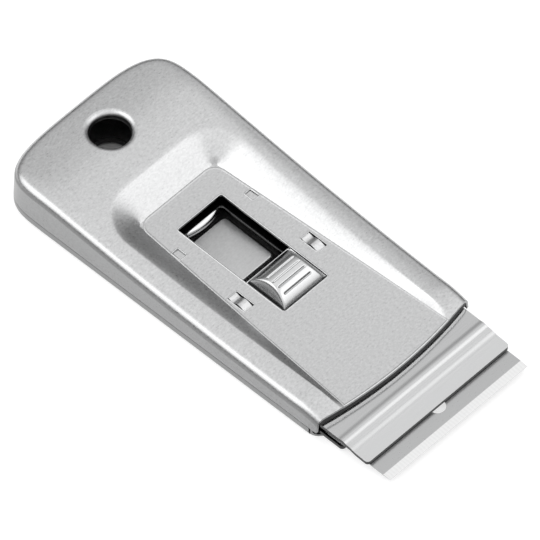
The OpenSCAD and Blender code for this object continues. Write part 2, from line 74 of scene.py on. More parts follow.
back = Vector((
    math.sin(CAMERA_AZIMUTH) * math.cos(CAMERA_ELEVATION),
    -math.cos(CAMERA_AZIMUTH) * math.cos(CAMERA_ELEVATION),
    math.sin(CAMERA_ELEVATION),
))
right = Vector((math.cos(CAMERA_AZIMUTH), math.sin(CAMERA_AZIMUTH), 0))
up = back.cross(right)
shift_right = (PICTURE / 2 - WINDOW_PIXEL[0]) / PIXELS_PER_MM * MM
shift_up = -(PICTURE / 2 - WINDOW_PIXEL[1]) / PIXELS_PER_MM * MM
aim = WINDOW_MIDDLE + right * shift_right + up * shift_up

camera_data = bpy.data.cameras.new("camera")
camera = bpy.data.objects.new("camera", camera_data)
bpy.context.collection.objects.link(camera)
camera.location = aim + back * CAMERA_DISTANCE
camera.rotation_mode = "QUATERNION"
camera.rotation_quaternion = (-back).to_track_quat("-Z", "Y")
field = PICTURE / PIXELS_PER_MM * MM
camera_data.lens = camera_data.sensor_width * CAMERA_DISTANCE / field
camera_data.clip_end = 5 * CAMERA_DISTANCE
bpy.context.scene.camera = camera
print(f"camera sees {field / MM:.1f} mm with a {camera_data.lens:.0f} mm lens")

# %% [markdown]
# Sizes come first. They are the press tool's own: the outline, the recess that runs out at the front edge,
# and the top that rises to a crown behind it. Distances along the tool are stations, measured in
# millimetres from the rear end of the housing. A name that ends in S is a station, in H a height above the
# table, in R a radius, and in HALF half a width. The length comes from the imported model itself.

# %% Sizes of the pressed covers
HOUSE_L = round((house_high.x - house_low.x) / MM, 2)
HOUSE_W = 44.1
HOUSE_TAPER = 1.8
FRONT_BULGE = 2.2
END_L = 13
END_N = 3.8
SHEET = 0.5
EDGE_R = 1.8
DRAFT = 0.2
FLOOR_H = 5.75
CROWN_H = FLOOR_H + 5.25
FRONT_H = FLOOR_H + 1.1
NOSE_DROP = 0.95
NOSE_RUN = 5
NOSE_POWER = 1.4
SIDE_FALL = 0.3
REAR_DROP = 1.5
CROWN_S = 12.5
CROWN_SOFT = 6
FALL_POWER = 2.4
SEAM_H = 2.45
FLOOR_S = 27.9
FLOOR_HALF = 10.8
FLOOR_FLARE = 3.6
FLOOR_R = 3
WALL_RUN = 6.2
WALL_RUN_FRONT = 1.0
WALL_POWER = 1.2
WIN_S0 = 34.2
WIN_S1 = 62.8
WIN_HALF = 6.05
WIN_R = 0.5
HOLE_S = 10.2
HOLE_R = 4.1
HOLE_ROLL = 1.3

EAR_S = HOUSE_L - FRONT_BULGE
WRAP_S = FLOOR_S + FLOOR_R
print(f"housing {HOUSE_L:.1f} mm long, recess from station {FLOOR_S}")


# %% [markdown]
# Two covers share one outline. A point on it is named by a number from -1 at the front corner, through 0
# beside the recess's rear corner, to 1 at the middle of the rear end. The straight sides taper, and the
# rear end is a superellipse, which is squarer than a half circle, as the photograph shows.

# %% The outline and the heights
REAR_END_U = 0.25
RECESS_TURN_U = 0.7
FOLD_U = 0.36
FOLD_SHARE = 0.08
FOLD_DEPTH = 0.5


def mix(a, b, t):
    return a + (b - a) * t


def smooth(t):
    t = min(1, max(0, t))
    return t * t * (3 - 2 * t)


def half_width(s):
    return (HOUSE_W - HOUSE_TAPER * s / HOUSE_L) / 2


def ramp(d, soft):
    return (math.sqrt(d * d + soft * soft) + d) / 2


def top_height(s):
    ahead = min(1, ramp(s - CROWN_S, CROWN_SOFT) / (HOUSE_L - CROWN_S))
    fall = (CROWN_H - FRONT_H) * (1 - ahead) ** FALL_POWER
    nose = NOSE_DROP * max(0, (s - EAR_S + NOSE_RUN) / NOSE_RUN) ** NOSE_POWER
    return FRONT_H + fall - nose - REAR_DROP * ramp(CROWN_S - s, CROWN_SOFT) / CROWN_S


def edge_height(u, s):
    """Along the sides the top is slightly domed and falls towards its outer edge."""
    fade_at_rear = smooth((0.5 - u) / 0.4)
    fade_at_front = smooth((1 + u) / 0.15)
    return top_height(s) - SIDE_FALL * fade_at_rear * fade_at_front


def rear_end(turn, inset):
    """A point of the rounded rear end, moved inwards by inset; turn runs from 0 to 90 degrees."""
    half = half_width(END_L)
    along = math.sin(turn) ** (2 / END_N)
    out = max(0, math.cos(turn)) ** (2 / END_N)
    normal_s = along ** (END_N - 1) / END_L
    normal_y = out ** (END_N - 1) / half
    length = math.hypot(normal_s, normal_y)
    return END_L * (1 - along) + inset * normal_s / length, half * out - inset * normal_y / length


def outline(u, inset):
    if u <= 0:
        s = mix(WRAP_S, EAR_S, -u)
        return s, half_width(s) - inset
    if u < REAR_END_U:
        s = mix(WRAP_S, END_L, u / REAR_END_U)
        return s, half_width(s) - inset
    return rear_end(math.radians(90) * (u - REAR_END_U) / (1 - REAR_END_U), inset)


def wall_foot(u, share):
    """A point of the recess wall, at a share of its run from the foot outwards."""
    if u <= 0:
        s = mix(WRAP_S, EAR_S, -u)
        run = mix(WALL_RUN, WALL_RUN_FRONT, -u)
        return s, FLOOR_HALF + FLOOR_FLARE * -u + share * run
    radius = FLOOR_R + share * WALL_RUN
    corner_y = FLOOR_HALF - FLOOR_R
    if u < RECESS_TURN_U:
        turn = math.radians(90) * u / RECESS_TURN_U
        return WRAP_S - radius * math.sin(turn), corner_y + radius * math.cos(turn)
    return WRAP_S - radius, corner_y * (1 - (u - RECESS_TURN_U) / (1 - RECESS_TURN_U))


def corner_fold(u, share):
    """The sheet is squeezed where the recess turns, and a shallow hollow stays in each rear corner."""
    round_corner = ((u - FOLD_U) / 0.12) ** 2
    up_wall = ((share - FOLD_SHARE) / 0.14) ** 2
    return FOLD_DEPTH * math.exp(-round_corner - up_wall)


def wall_height(u, s, share):
    if share <= 0:
        return FLOOR_H
    height = mix(FLOOR_H, top_height(s), 1 - (1 - share) ** WALL_POWER)
    return max(FLOOR_H, height - corner_fold(u, share))


def front_bulge(s, y):
    part = max(0, (s - WIN_S1) / (EAR_S - WIN_S1))
    return FRONT_BULGE * part ** 2 * (1 - (y / half_width(s)) ** 2)


print(f"crown {top_height(CROWN_S):.2f} mm, front {top_height(EAR_S):.2f} mm")

# %% [markdown]
# A pressed sheet could be modelled by hand with loops and creases, but here its shape is known as a
# formula, so it is simpler to lay rings of points over it and join them. Each ring starts at the near front
# corner, runs round the rear end and comes back to the far front corner. The inner face is the same rings
# again, one sheet thickness in.

# %% Rings of points
SIDE_STEPS = 64
REAR_STEPS = 64
ROLL_STEPS = 8
FLAT_STEPS = 22
WALL_STEPS = 18
CORNER_PULL_RUN = 2

stations = [-1 + k / SIDE_STEPS for k in range(SIDE_STEPS)]
stations += [k / REAR_STEPS for k in range(REAR_STEPS + 1)]


def full_ring(half):
    """The near half ring is mirrored to the far side."""
    near = [(s, -y, z) for s, y, z in half]
    far = [(s, y, z) for s, y, z in reversed(half[:-1])]
    return near + far


def cover_rings(thick):
    rings = [full_ring([(*outline(u, thick), SEAM_H) for u in stations])]
    for k in range(ROLL_STEPS + 1):
        turn = math.radians(90) * k / ROLL_STEPS
        radius = EDGE_R - thick
        ring = []
        for u in stations:
            s, y = outline(u, DRAFT + EDGE_R - radius * math.cos(turn))
            ring.append((s, y, edge_height(u, s) - EDGE_R + radius * math.sin(turn)))
        rings.append(full_ring(ring))
    for k in range(1, FLAT_STEPS):
        ring = []
        for u in stations:
            s0, y0 = outline(u, DRAFT + EDGE_R)
            s1, y1 = wall_foot(u, 1)
            share = k / FLAT_STEPS
            s, y = mix(s0, s1, share), mix(y0, y1, share)
            ring.append((s, y, mix(edge_height(u, s), top_height(s), 1 - (1 - share) ** 2) - thick))
        rings.append(full_ring(ring))
    for k in range(WALL_STEPS, -1, -1):
        share = k / WALL_STEPS
        ring = []
        for u in stations:
            s, y = wall_foot(u, share)
            ring.append((s, y, wall_height(u, s, share) - thick))
        rings.append(full_ring(ring))
    rings.append(full_ring([(*wall_foot(u, -0.06), FLOOR_H - thick) for u in stations]))
    return rings


def corner_pull(y, radius):
    over = max(0, abs(y) - half_width(EAR_S) + radius)
    return radius - math.sqrt(max(0, radius ** 2 - over ** 2))


def shaped(point, corner=0.0):
    """Adds the front edge's bulge, pulls its corners round and moves the point into the frame."""
    s, y, z = point
    near_edge = smooth((s - EAR_S + CORNER_PULL_RUN) / CORNER_PULL_RUN)
    s = s + front_bulge(s, y) - corner_pull(y, corner) * near_edge
    return Vector((s + REAR_X, y, z)) * MM


def shell(name, outer, inner, corner=0.0, front_cells=64):
    """A thin shell between two stacks of rings, with a flat face inside the last ring."""
    row = len(outer[0])
    count = len(outer)
    edge_y = outer[-1][0][1]
    arc = [edge_y * math.cos(math.pi * k / front_cells) for k in range(1, front_cells)]
    points = []
    for rings in (outer, inner):
        for ring in rings:
            points += [shaped(p, corner) for p in ring]
        points += [shaped((EAR_S, y, rings[-1][0][2]), corner) for y in arc]
    skin = count * row + len(arc)
    faces = []
    for r in range(count - 1):
        for i in range(row - 1):
            a, c = r * row + i, (r + 1) * row + i
            faces.append((a, a + 1, c + 1, c))
            faces.append((skin + a, skin + c, skin + c + 1, skin + a + 1))
    floor = [(count - 1) * row + i for i in range(row)]
    floor += [count * row + k for k in range(len(arc) - 1, -1, -1)]
    faces.append(tuple(floor))
    faces.append(tuple(skin + i for i in reversed(floor)))
    edge = [i for i in range(row - 1, -1, -1)]
    edge += [r * row for r in range(1, count)]
    edge += [count * row + k for k in range(len(arc))]
    edge += [r * row + row - 1 for r in range(count - 1, 0, -1)]
    for a, b in zip(edge, edge[1:] + edge[:1]):
        faces.append((a, b, skin + b, skin + a))
    return make_piece(name, points, faces)


def make_piece(name, points, faces, crease=24):
    mesh = bpy.data.meshes.new(name)
    mesh.from_pydata([tuple(p) for p in points], [], faces)
    tidy = bmesh.new()
    tidy.from_mesh(mesh)
    bmesh.ops.remove_doubles(tidy, verts=tidy.verts, dist=1e-7)
    bmesh.ops.recalc_face_normals(tidy, faces=tidy.faces)
    tidy.to_mesh(mesh)
    tidy.free()
    obj = bpy.data.objects.new(name, mesh)
    bpy.context.collection.objects.link(obj)
    smooth_piece(obj, crease)
    return obj


def smooth_piece(obj, crease=24):
    obj.data.polygons.foreach_set("use_smooth", [True] * len(obj.data.polygons))
    obj.data.set_sharp_from_angle(angle=math.radians(crease))


top_skin = shell("top_skin", cover_rings(0), cover_rings(SHEET))
print("top cover:", len(top_skin.data.polygons), "faces")


# %% [markdown]
# The window, the pierced marks and the hanging hole are cut with Boolean modifiers, because a cut through
# both faces of a sheet keeps its edge exactly the sheet's thickness. The cutters are removed afterwards.

# %% Cutting tools
def rounded_corners(s0, s1, half, radius, steps=6):
    corners = [(s1 - radius, half - radius, 0), (s0 + radius, half - radius, 90),
               (s0 + radius, -half + radius, 180), (s1 - radius, -half + radius, 270)]
    points = []
    for s, y, start in corners:
        for k in range(steps + 1):
            turn = math.radians(start + 90 * k / steps)
            points.append((s + radius * math.cos(turn), y + radius * math.sin(turn)))
    return points


def prism(name, plan, low, high, shift_y=0.0):
    """A plan outline stood up between two heights."""
    n = len(plan)
    points = [Vector((s + REAR_X, y + shift_y, z)) * MM for z in (low, high) for s, y in plan]
    faces = [tuple(range(n - 1, -1, -1)), tuple(range(n, 2 * n))]
    faces += [(i, (i + 1) % n, n + (i + 1) % n, n + i) for i in range(n)]
    return make_piece(name, points, faces)


def round_plan(s, y, radius, steps=96):
    turns = [2 * math.pi * k / steps for k in range(steps)]
    return [(s + radius * math.cos(t), y + radius * math.sin(t)) for t in turns]


def apply_modifiers(obj):
    depsgraph = bpy.context.evaluated_depsgraph_get()
    mesh = bpy.data.meshes.new_from_object(obj.evaluated_get(depsgraph))
    obj.modifiers.clear()
    obj.data = mesh


def cut(obj, tools):
    for tool in tools:
        step = obj.modifiers.new("cut", "BOOLEAN")
        step.operation = "DIFFERENCE"
        step.solver = "EXACT"
        step.object = tool
    apply_modifiers(obj)
    for tool in tools:
        bpy.data.objects.remove(tool)


MARK_Y = 10.1
LANCE_L = 4.7
LANCE_S1 = WIN_S1 - 5.3
LANCE_S0 = LANCE_S1 - LANCE_L
LANCE_HALF = 1.25
DENT_S0 = WIN_S0 + 3.2
DENT_S1 = DENT_S0 + 2.3
DENT_HALF = 0.85
DENT_DEPTH = 0.25
UNDER_FLOOR = 3
OVER_FLOOR = 8
OVER_CROWN = 14

tools = [prism("cut_window", rounded_corners(WIN_S0, WIN_S1, WIN_HALF, WIN_R), UNDER_FLOOR, OVER_FLOOR)]
tools.append(prism("cut_hole", round_plan(HOLE_S, 0, HOLE_R + HOLE_ROLL), FLOOR_H - 0.75, OVER_CROWN))
for side in (-1, 1):
    lance = rounded_corners(LANCE_S0, LANCE_S1, LANCE_HALF, 0.15)
    tools.append(prism("cut_lance", lance, UNDER_FLOOR, OVER_FLOOR, side * MARK_Y))
    dent = rounded_corners(DENT_S0, DENT_S1, DENT_HALF, 0.2)
    tools.append(prism("cut_dent", dent, FLOOR_H - DENT_DEPTH, OVER_FLOOR, side * MARK_Y))
cut(top_skin, tools)
smooth_piece(top_skin)
print("cuts made:", len(top_skin.data.polygons), "faces")


# %% [markdown]
# The edge of the hanging hole is rolled inwards and down so that it doesn't cut the hook or the hand. The
# lip is a thin ring turned round the hole, and its outer edge follows the sloping top, so that there is no
# step between them.

# %% The rolled rims of the hanging hole
COLLAR_DEPTH = 1.9


def collar(name, surface, down):
    """A rolled rim; surface gives the sheet's height at a station, and down is 1 from the top."""
    profile = []
    roll_steps = 10
    for k in range(roll_steps + 1):
        turn = math.radians(90) * k / roll_steps
        profile.append((HOLE_R + HOLE_ROLL * (1 - math.sin(turn)), HOLE_ROLL * (1 - math.cos(turn)), 1))
    profile.append((HOLE_R, COLLAR_DEPTH, 0))
    profile.append((HOLE_R + SHEET, COLLAR_DEPTH, 0))
    for k in range(roll_steps, -1, -1):
        turn = math.radians(90) * k / roll_steps
        radius = HOLE_ROLL - SHEET
        profile.append((HOLE_R + HOLE_ROLL - radius * math.sin(turn),
                        SHEET + radius * (1 - math.cos(turn)), 1))
    around = 96
    points = []
    for i in range(around):
        turn = 2 * math.pi * i / around
        sheet_z = surface(HOLE_S + (HOLE_R + HOLE_ROLL) * math.cos(turn))
        middle_z = surface(HOLE_S)
        for radius, depth, follows in profile:
            z = (sheet_z if follows else middle_z) - down * depth
            s = HOLE_S + radius * math.cos(turn)
            points.append(Vector((s + REAR_X, radius * math.sin(turn), z)) * MM)
    n = len(profile)
    faces = []
    for i in range(around):
        for k in range(n):
            a, b = i * n + k, i * n + (k + 1) % n
            c, d = ((i + 1) % around) * n + (k + 1) % n, ((i + 1) % around) * n + k
            faces.append((a, b, c, d))
    return make_piece(name, points, faces, crease=40)


top_collar = collar("top_hole_rim", top_height, 1)
back_collar = collar("back_hole_rim", lambda s: 0, -1)
print("rims turned")


# %% [markdown]
# In the front marks the metal is not removed. A narrow strip of the same sheet is sheared at both ends
# and bent like a wave, and its slopes catch the light differently.

# %% Waves in the front marks
WAVE_T = 0.35
WAVE_SIDE_GAP = 0.22


def side_strip(name, line, half, shift_y=0.0, crease=24):
    """A closed side view stretched across the tool."""
    n = len(line)
    points = [Vector((s + REAR_X, y + shift_y, z)) * MM for y in (-half, half) for s, z in line]
    faces = [tuple(range(n)), tuple(range(2 * n - 1, n - 1, -1))]
    faces += [(i, (i + 1) % n, n + (i + 1) % n, n + i) for i in range(n)]
    return make_piece(name, points, faces, crease)


def wave_height(share):
    """The strip falls from the rear, rises to a crest and falls again."""
    if share < 0.25:
        return mix(-0.08, -0.42, smooth(share / 0.25))
    if share < 0.55:
        return mix(-0.42, 0.12, smooth((share - 0.25) / 0.3))
    return mix(0.12, -0.5, smooth((share - 0.55) / 0.45))


waves = []
for side in (-1, 1):
    steps = 28
    shares = [k / steps for k in range(steps + 1)]
    over = [(mix(LANCE_S0 - 0.1, LANCE_S1 + 0.1, share), FLOOR_H + wave_height(share)) for share in shares]
    under = [(s, z - WAVE_T) for s, z in reversed(over)]
    name = "mark_wave_near" if side < 0 else "mark_wave_far"
    waves.append(side_strip(name, over + under, LANCE_HALF - WAVE_SIDE_GAP, side * MARK_Y))
print("waves:", len(waves))

# %% [markdown]
# Every pressed or punched edge of this sheet has a fine raised rim, and each of them is a bright line. A
# bevel would round the edge but not raise it, so a rim is a low half round that is laid along a path.

# %% Fine rims
def rim(name, path, half, rise, closed=True, base=FLOOR_H):
    """A low half round along a plan path, with its foot just under the surface."""
    profile = [(-1, -0.03), (-0.7, rise * 0.7), (0, rise), (0.7, rise * 0.7), (1, -0.03)]
    n = len(path)
    points = []
    for i, (s, y) in enumerate(path):
        before = path[i - 1] if closed or i else path[0]
        after = path[(i + 1) % n] if closed or i < n - 1 else path[-1]
        ds, dy = after[0] - before[0], after[1] - before[1]
        length = math.hypot(ds, dy)
        for across, z in profile:
            shift = across * half / length
            points.append(shaped((s - dy * shift, y + ds * shift, base + z), 0))
    m = len(profile)
    faces = []
    for i in range(n if closed else n - 1):
        for k in range(m):
            a, b = i * m + k, i * m + (k + 1) % m
            c, d = ((i + 1) % n) * m + (k + 1) % m, ((i + 1) % n) * m + k
            faces.append((a, b, c, d))
    if not closed:
        faces += [tuple(range(m)), tuple(range(n * m - 1, (n - 1) * m - 1, -1))]
    return make_piece(name, points, faces, crease=60)


def grown(s0, s1, half, radius, out):
    """The plan of an opening, moved outwards all round."""
    return rounded_corners(s0 - out, s1 + out, half + out, radius + out)


rims = [rim("window_rim", grown(WIN_S0, WIN_S1, WIN_HALF, WIN_R, 0.14), 0.16, 0.07)]
foot = [wall_foot(u, -0.03) for u in stations]
foot = [(s, -y) for s, y in foot] + [(s, y) for s, y in reversed(foot[:-1])]
rims.append(rim("recess_rim", foot, 0.3, 0.04, closed=False))
for side, word in ((-1, "near"), (1, "far")):
    lance = grown(LANCE_S0, LANCE_S1, LANCE_HALF, 0.15, 0.1)
    dent = grown(DENT_S0, DENT_S1, DENT_HALF, 0.2, 0.1)
    rims.append(rim("lance_rim_" + word, [(s, y + side * MARK_Y) for s, y in lance], 0.12, 0.06))
    rims.append(rim("dent_rim_" + word, [(s, y + side * MARK_Y) for s, y in dent], 0.14, 0.07))
print("rims:", len(rims))

# %% [markdown]
# The front edge of the recess floor is turned down a little, which makes the edge stiff. This hem follows
# the bulge of the edge and goes on under both ears, nearly down to the carriage, so that one can't look
# into the housing. The bend shows as a bright line.

# %% Turned front edge
HEM_DROP = 1.1
HEM_SIDE = 0.5
HEAD_HALF = round(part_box("blade_holder")[1].y / MM, 2)


def front_hem(steps=48):
    half = HEAD_HALF + HEM_SIDE
    spread = [half * math.cos(math.pi * k / steps) for k in range(steps + 1)]
    edge = [(EAR_S + front_bulge(EAR_S, y) - 0.03, y) for y in spread]
    plan = edge + [(s - SHEET, y) for s, y in reversed(edge)]
    return prism("front_hem", plan, FLOOR_H - SHEET - HEM_DROP, FLOOR_H - SHEET / 2)


hem = front_hem()
front_half = FLOOR_HALF + FLOOR_FLARE
bend = [(EAR_S - 0.2, front_half * math.cos(math.pi * k / 64)) for k in range(65)]
rims.append(rim("front_rim", bend, 0.2, 0.06, closed=False))
print("hem faces:", len(hem.data.polygons))


# %% [markdown]
# The back cover is the same outline pressed the other way up: a shallow tray with a rounded lower edge and
# a rim that stands inside the skirt. A pad pressed up from its floor guides the carriage.

# %% The back cover
SEAM_GAP = 0.12
INNER_RIM_RISE = 1.7
RIM_GAP = 0.2
LOWER_R = 1.2
BACK_CORNER_R = 3.2


def tray_rings(thick):
    rim_in = SHEET + RIM_GAP
    shoulder = SEAM_H - SEAM_GAP
    rows = [(rim_in + thick, SEAM_H + INNER_RIM_RISE), (rim_in + thick, shoulder - thick)]
    rows.append((thick, shoulder - thick))
    for k in range(ROLL_STEPS + 1):
        turn = math.radians(90) * k / ROLL_STEPS
        radius = LOWER_R - thick
        rows.append((LOWER_R - radius * math.cos(turn), LOWER_R - radius * math.sin(turn)))
    rows.append((LOWER_R + 0.3, thick))
    return [full_ring([(*outline(u, inset), z) for u in stations]) for inset, z in rows]


PAD_S0 = WIN_S0 + 1.2
PAD_S1 = PAD_S0 + 15.6
PAD_HALF = 5.7
PAD_SLOPE = 1.4
PAD_TOP = 2.2
PAD_CORNER = 1.3


def pad(name, steps=12):
    """The pressed pad as a skin of rings, rising in an S from the floor to its flat head."""
    rings = []
    for thick in (0, SHEET):
        stack = []
        for k in range(steps + 1):
            share = k / steps
            inset = PAD_SLOPE * share + thick * smooth(share)
            radius = PAD_CORNER - 0.5 * share
            plan = rounded_corners(PAD_S0 + inset, PAD_S1 - inset, PAD_HALF - inset, radius)
            stack.append([(s, y, mix(SHEET, PAD_TOP, smooth(share)) - thick) for s, y in plan])
        rings.append(stack)
    row = len(rings[0][0])
    points = [Vector((s + REAR_X, y, z)) * MM for stack in rings for ring in stack for s, y, z in ring]
    skin = (steps + 1) * row
    faces = []
    for r in range(steps):
        for i in range(row):
            a, b = r * row + i, r * row + (i + 1) % row
            faces.append((a, b, b + row, a + row))
            faces.append((skin + a, skin + a + row, skin + b + row, skin + b))
    faces.append(tuple(steps * row + i for i in range(row)))
    faces.append(tuple(skin + steps * row + i for i in range(row - 1, -1, -1)))
    for i in range(row):
        faces.append((i, skin + i, skin + (i + 1) % row, (i + 1) % row))
    return make_piece(name, points, faces)


back_skin = shell("back_skin", tray_rings(0), tray_rings(SHEET), corner=BACK_CORNER_R)
pad_hole = rounded_corners(PAD_S0, PAD_S1, PAD_HALF, PAD_CORNER)
hook_hole = round_plan(HOLE_S, 0, HOLE_R + HOLE_ROLL)
cut(back_skin, [prism("cut_pad", pad_hole, -1, 2), prism("cut_hole", hook_hole, -1, 2)])
smooth_piece(back_skin)
pad_skin = pad("guide_pad")
print("back cover:", len(back_skin.data.polygons), "faces")

# %% [markdown]
# The thumb slide is a pillow of pressed metal: a round back along the tool, sloping ends across it, and four
# grooves for the thumb. Its height is the lower of two surfaces, blended where they meet, which gives soft
# corners without any sculpting.

# %% The pillow of the thumb slide
THUMB_L = 10
THUMB_GAP = 0.3
THUMB_S1 = WIN_S1 - THUMB_GAP
THUMB_S0 = THUMB_S1 - THUMB_L
THUMB_MID = (THUMB_S0 + THUMB_S1) / 2
THUMB_HALF = WIN_HALF - THUMB_GAP
THUMB_TOP = FLOOR_H + 2.3
THUMB_T = 0.55
DOME_RISE = 2.8
DOME_R = ((THUMB_L / 2) ** 2 + DOME_RISE ** 2) / (2 * DOME_RISE)
SIDE_FOOT_H = 5.0
SIDE_SLOPE = 2.1
FLANGE_H = 4.65
GROOVE_STEP = 1.55
GROOVE_SHIFT = 0.75
GROOVE_HALF = 0.3
GROOVE_DEPTH = 0.3
GROOVE_END = 1.9
GROOVES = [THUMB_MID + GROOVE_SHIFT + GROOVE_STEP * (k - 1.5) for k in range(4)]


def lower_of(a, b, soft):
    return (a + b - math.sqrt((a - b) ** 2 + soft ** 2)) / 2


def thumb_height(s, y):
    inside = THUMB_HALF - abs(y)
    back_round = THUMB_TOP - DOME_R + math.sqrt(DOME_R ** 2 - (s - THUMB_MID) ** 2)
    height = lower_of(back_round, SIDE_FOOT_H + SIDE_SLOPE * inside, 0.5)
    for groove in GROOVES:
        off = abs(s - groove) / GROOVE_HALF
        if off < 1:
            height -= GROOVE_DEPTH * (1 - smooth(off)) * smooth((inside - GROOVE_END) / 0.5)
    return height


def thumb_cap(name, along=132, across=84):
    """The pillow as an outer and an inner skin of points, joined by a foot that stands on the flange."""
    points = []
    for wall in (0, THUMB_T):
        for i in range(along + 1):
            for j in range(across + 1):
                s = mix(THUMB_S0, THUMB_S1, i / along)
                y = mix(-THUMB_HALF, THUMB_HALF, j / across)
                z = thumb_height(s, y) - wall
                shrink = 1 - wall / THUMB_HALF
                s, y = THUMB_MID + (s - THUMB_MID) * shrink, y * shrink
                points.append((s, y, max(z, FLANGE_H)))
    row = across + 1
    skin = (along + 1) * row
    faces = []
    for i in range(along):
        for j in range(across):
            a = i * row + j
            faces.append((a, a + row, a + row + 1, a + 1))
            faces.append((skin + a, skin + a + 1, skin + a + row + 1, skin + a + row))
    edge = [j for j in range(row)]
    edge += [i * row + across for i in range(1, along + 1)]
    edge += [along * row + j for j in range(across - 1, -1, -1)]
    edge += [i * row for i in range(along - 1, 0, -1)]
    foot = len(points)
    for start in (0, skin):
        for k in edge:
            s, y = points[start + k][:2]
            points.append((s, y, FLANGE_H - 0.001))
    n = len(edge)
    for k in range(n):
        after = (k + 1) % n
        faces.append((edge[k], edge[after], foot + after, foot + k))
        faces.append((skin + edge[after], skin + edge[k], foot + n + k, foot + n + after))
        faces.append((foot + k, foot + after, foot + n + after, foot + n + k))
    return make_piece(name, [Vector((s + REAR_X, y, z)) * MM for s, y, z in points], faces, crease=50)


cap = thumb_cap("thumb_cap")
print("thumb slide:", len(cap.data.polygons), "faces")

# %% [markdown]
# A wide flange under the cover keeps the thumb slide in the window, and two lugs hang from it into the slot
# of the carriage. They are plain plates, so a plan that is stood up is enough.

# %% Flange and lugs of the thumb slide
FLANGE_T = 0.43
FLANGE_HALF = 8.2
FLANGE_OUT = 0.2
LUG_HALF_L = 3
LUG_Y0 = 4.4
LUG_Y1 = 4.9
LUG_FOOT_Y1 = 5.6
LUG_LOW = 3.05


def side_plate(name, side, y1, low, high):
    """A small upright plate beside the slot, out to y1."""
    corners = ((-LUG_HALF_L, LUG_Y0), (LUG_HALF_L, LUG_Y0), (LUG_HALF_L, y1), (-LUG_HALF_L, y1))
    return prism(name, [(THUMB_MID + a, side * b) for a, b in corners], low, high)


flange_plan = rounded_corners(THUMB_S0 - FLANGE_OUT, THUMB_S1 + FLANGE_OUT, FLANGE_HALF, 0.4)
flange = prism("thumb_flange", flange_plan, FLANGE_H, FLANGE_H + FLANGE_T)
flange_hole = rounded_corners(THUMB_S0 + 0.3, THUMB_S1 - 0.3, THUMB_HALF - 0.3, 0.3)
cut(flange, [prism("cut_flange", flange_hole, FLANGE_H - 0.65, FLANGE_H + 1.35)])
lugs = []
for side, word in ((-1, "near"), (1, "far")):
    lugs.append(side_plate("thumb_lug_" + word, side, LUG_Y1, LUG_LOW, FLANGE_H + 0.1))
    lugs.append(side_plate("thumb_lug_foot_" + word, side, LUG_FOOT_Y1, FLANGE_H, FLANGE_H + FLANGE_T))
print("lugs reach down to", LUG_LOW)

# %% [markdown]
# The blade holder is one strip of thicker sheet. Behind, it is a narrow shank with a slot. In front, it is
# as wide as the blade, and two soft folds lead down to the lip. The folds are gentle: a slope of fifteen
# degrees is enough to mirror the soft box as a white line, so their heights are smooth steps of a formula.

# %% The blade holder
LEAF_T = 0.8
LEAF_TOP = 3.75
SHANK_S0 = round(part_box("blade_holder")[0].x / MM - REAR_X, 2)
SLOT_S0 = SHANK_S0 + 2
SLOT_S1 = SLOT_S0 + 34.4
SLOT_HALF = 5.1
SLOT_R = 1.2
SHANK_HALF = 10.5
HEAD_S0 = 76.4
LIP_S = round(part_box("blade_holder")[1].x / MM - REAR_X, 2)
LIP_R = 0.8
LIP_S0 = LIP_S - 3.6
LIP_FALL = 0.2
RIVET_R = 1.23
RIVETS = [(80.3, 13), (80.3, -13), (71.9, 5), (71.9, -5)]
BAR_LOW = 0.9
FOLD_S0 = HOUSE_L + 2
FOLDS = [(FOLD_S0, 1.35, 0.17), (FOLD_S0 + 1.35, 1.5, -0.34), (FOLD_S0 + 3.05, 2.0, -0.40)]


def fold_height(s):
    """A low rise, two falls with a step between them, and a lip that slopes a little."""
    height = LEAF_TOP - LIP_FALL * max(0, s - LIP_S0) / (LIP_S - LIP_S0)
    for start, run, rise in FOLDS:
        height += rise * smooth((s - start) / run)
    return height


def lip_half(s):
    over = max(0, s - LIP_S + LIP_R)
    return HEAD_HALF - LIP_R + math.sqrt(max(0, LIP_R ** 2 - over ** 2))


def sheet_strip(name, line):
    """A sheet of one thickness that follows a line of station, height and half width."""
    points = []
    for s, z, half in line:
        for y, low in ((-half, LEAF_T), (half, LEAF_T), (half, 0), (-half, 0)):
            points.append(Vector((s + REAR_X, y, z - low)) * MM)
    faces = [(0, 1, 2, 3), tuple(len(points) - 1 - k for k in range(4))]
    for i in range(len(line) - 1):
        for k in range(4):
            a, b = i * 4 + k, i * 4 + (k + 1) % 4
            faces.append((a, b, b + 4, a + 4))
    return make_piece(name, points, faces)


holder_line = [(SHANK_S0, LEAF_TOP, SHANK_HALF), (HEAD_S0, LEAF_TOP, SHANK_HALF)]
holder_line += [(HEAD_S0 + 0.01, LEAF_TOP, HEAD_HALF)]
fold_stations = [FOLD_S0 + k * 0.08 for k in range(60)]
fold_stations += [mix(FOLD_S0 + 4.9, LIP_S - LIP_R, k / 6) for k in range(7)]
fold_stations += [LIP_S - LIP_R * (1 - math.sin(math.radians(9 * k))) for k in range(1, 11)]
holder_line += [(s, fold_height(s), lip_half(s)) for s in fold_stations]
holder = sheet_strip("holder_sheet", holder_line)
leaf_low, leaf_high = LEAF_TOP - LEAF_T - 1, LEAF_TOP + 1
tools = [prism("cut_slot", rounded_corners(SLOT_S0, SLOT_S1, SLOT_HALF, SLOT_R), leaf_low, leaf_high)]
for s, y in RIVETS:
    tools.append(prism("cut_rivet", round_plan(s, y, RIVET_R, 32), leaf_low, leaf_high))
cut(holder, tools)
smooth_piece(holder, 30)
bar_high = LEAF_TOP - LEAF_T + 0.05
bar_s1 = SHANK_S0 + LEAF_T
bar_line = [(SHANK_S0, BAR_LOW), (SHANK_S0, bar_high), (bar_s1, bar_high), (bar_s1, BAR_LOW)]
bar = side_strip("holder_bar", bar_line, SLOT_HALF)
print("holder:", len(holder.data.polygons), "faces")

